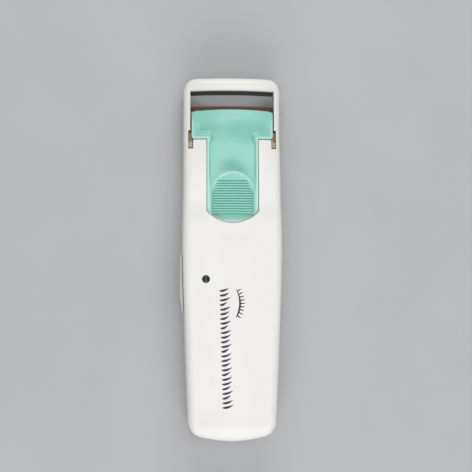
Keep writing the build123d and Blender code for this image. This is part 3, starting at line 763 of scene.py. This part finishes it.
def lash_row(z):
    """A long row of uneven lash strokes along the handle."""
    draw = random.Random(7)
    strokes = []
    for i in range(ROW_STROKES):
        y = ROW_TOP_Y - STROKE_PITCH * i
        left = ROW_X - ROW_SLANT * (y - ROW_MIDDLE_Y) - ROW_OFFSET
        tall = 1.5 + 0.75 * abs(math.sin(1.9 * i + 0.6)) + 0.15 * draw.random()
        lean = 0.55 + 0.15 * draw.random()
        start = Vector((left, y - lean, z))
        end = Vector((left + 2 * tall * 0.92, y + lean, z))
        bend = (start + end) / 2 + Vector((0.1, -0.75, 0))
        strokes.append(brush_stroke(curve_points(start, bend, end), STROKE_WIDTH))
    return strokes


def closed_lid(z):
    """A lid line with lashes fanned along it."""
    low, high = Vector((LID_X, LID_LOW_Y, z)), Vector((LID_X, LID_HIGH_Y, z))
    bulge = Vector((LID_BULGE_X, (LID_LOW_Y + LID_HIGH_Y) / 2, z))
    lid = curve_points(low, bulge, high, 21)
    strokes = [brush_stroke(lid, LID_WIDTH)]
    for i in range(2, 19, 2):
        root = lid[i]
        fan = (i - 10) / 10
        tip = root + Vector((2.1 - 0.8 * fan * fan, 1.5 * fan, 0))
        bend = (root + tip) / 2 + Vector((-0.2, 0.45 * fan, 0))
        strokes.append(brush_stroke(curve_points(root, bend, tip), LASH_WIDTH))
    return strokes


def printed_motif():
    """Pad-printed ornament on the handle's front."""
    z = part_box("front_shell")[1].z / MM
    mesh_piece("printed_motif", *joined(lash_row(z) + closed_lid(z)), "housing", "ink")


# ---------------------------------------------------------------- stage, light and camera
FLOOR_HALF = 1.5


def stage():
    """A plain pale floor just under the object."""
    corners = [(x * FLOOR_HALF, y * FLOOR_HALF, 0) for x, y in ((-1, -1), (1, -1), (1, 1), (-1, 1))]
    mesh = bpy.data.meshes.new("floor")
    mesh.from_pydata(corners, [], [(0, 1, 2, 3)])
    floor = bpy.data.objects.new("floor", mesh)
    bpy.context.scene.collection.objects.link(floor)
    floor.location.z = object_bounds()[0][2] - 0.0002
    s = Shader("paper_floor")
    s.link(s.mix(s.noise(30.0), (0.47, 0.48, 0.49), (0.50, 0.51, 0.52)), s.surface.inputs["Base Color"])
    s.surface.inputs["Roughness"].default_value = 0.9
    mesh.materials.append(s.material)
    floor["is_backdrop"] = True


def area_light(name, place, target, size, power):
    """A rectangular soft light at a place, turned to its target."""
    lamp = bpy.data.lights.new(name, "AREA")
    lamp.shape = "RECTANGLE"
    lamp.size, lamp.size_y = size
    lamp.energy = power
    obj = bpy.data.objects.new(name, lamp)
    obj.location = place
    obj.rotation_euler = (Vector(target) - Vector(place)).to_track_quat("-Z", "Y").to_euler()
    bpy.context.scene.collection.objects.link(obj)


def lights():
    """An even grey surround and three soft lights."""
    world = bpy.data.worlds.new("studio")
    bpy.context.scene.world = world
    world.use_nodes = True
    world.node_tree.nodes["Background"].inputs["Color"].default_value = (1.0, 1.0, 1.0, 1.0)
    world.node_tree.nodes["Background"].inputs["Strength"].default_value = 0.36
    area_light("near_end", (0.0, -0.75, 0.45), (0, -0.02, 0), (0.9, 0.5), 4.2)
    area_light("far_end", (0.02, 0.80, 0.50), (0, 0.02, 0), (0.8, 0.3), 4.0)
    area_light("overhead", (0.06, 0.05, 0.95), (0, 0, 0), (0.5, 0.9), 2.0)


VIEW_WIDTH = 193.52 * MM  # what the view spans at the object


def camera():
    """Looking down on the front face, a little from the left and from the battery end."""
    distance, from_left, from_near = 0.600, math.radians(4.3), math.radians(2.0)
    target = Vector((1.85 * MM, 9.70 * MM, 9.0 * MM))
    turn = Euler((from_near, -from_left, 0.0))
    data = bpy.data.cameras.new("camera")
    data.sensor_width = 36.0
    data.lens = data.sensor_width * distance / VIEW_WIDTH
    obj = bpy.data.objects.new("camera", data)
    obj.location = target + turn.to_matrix() @ Vector((0, 0, distance))
    obj.rotation_euler = turn
    bpy.context.scene.collection.objects.link(obj)
    bpy.context.scene.camera = obj
    bpy.context.scene.view_settings.view_transform = "Standard"


camera()
stage()
lights()
slider_cover()
return_springs()
heater_leads()
power_led()
printed_motif()
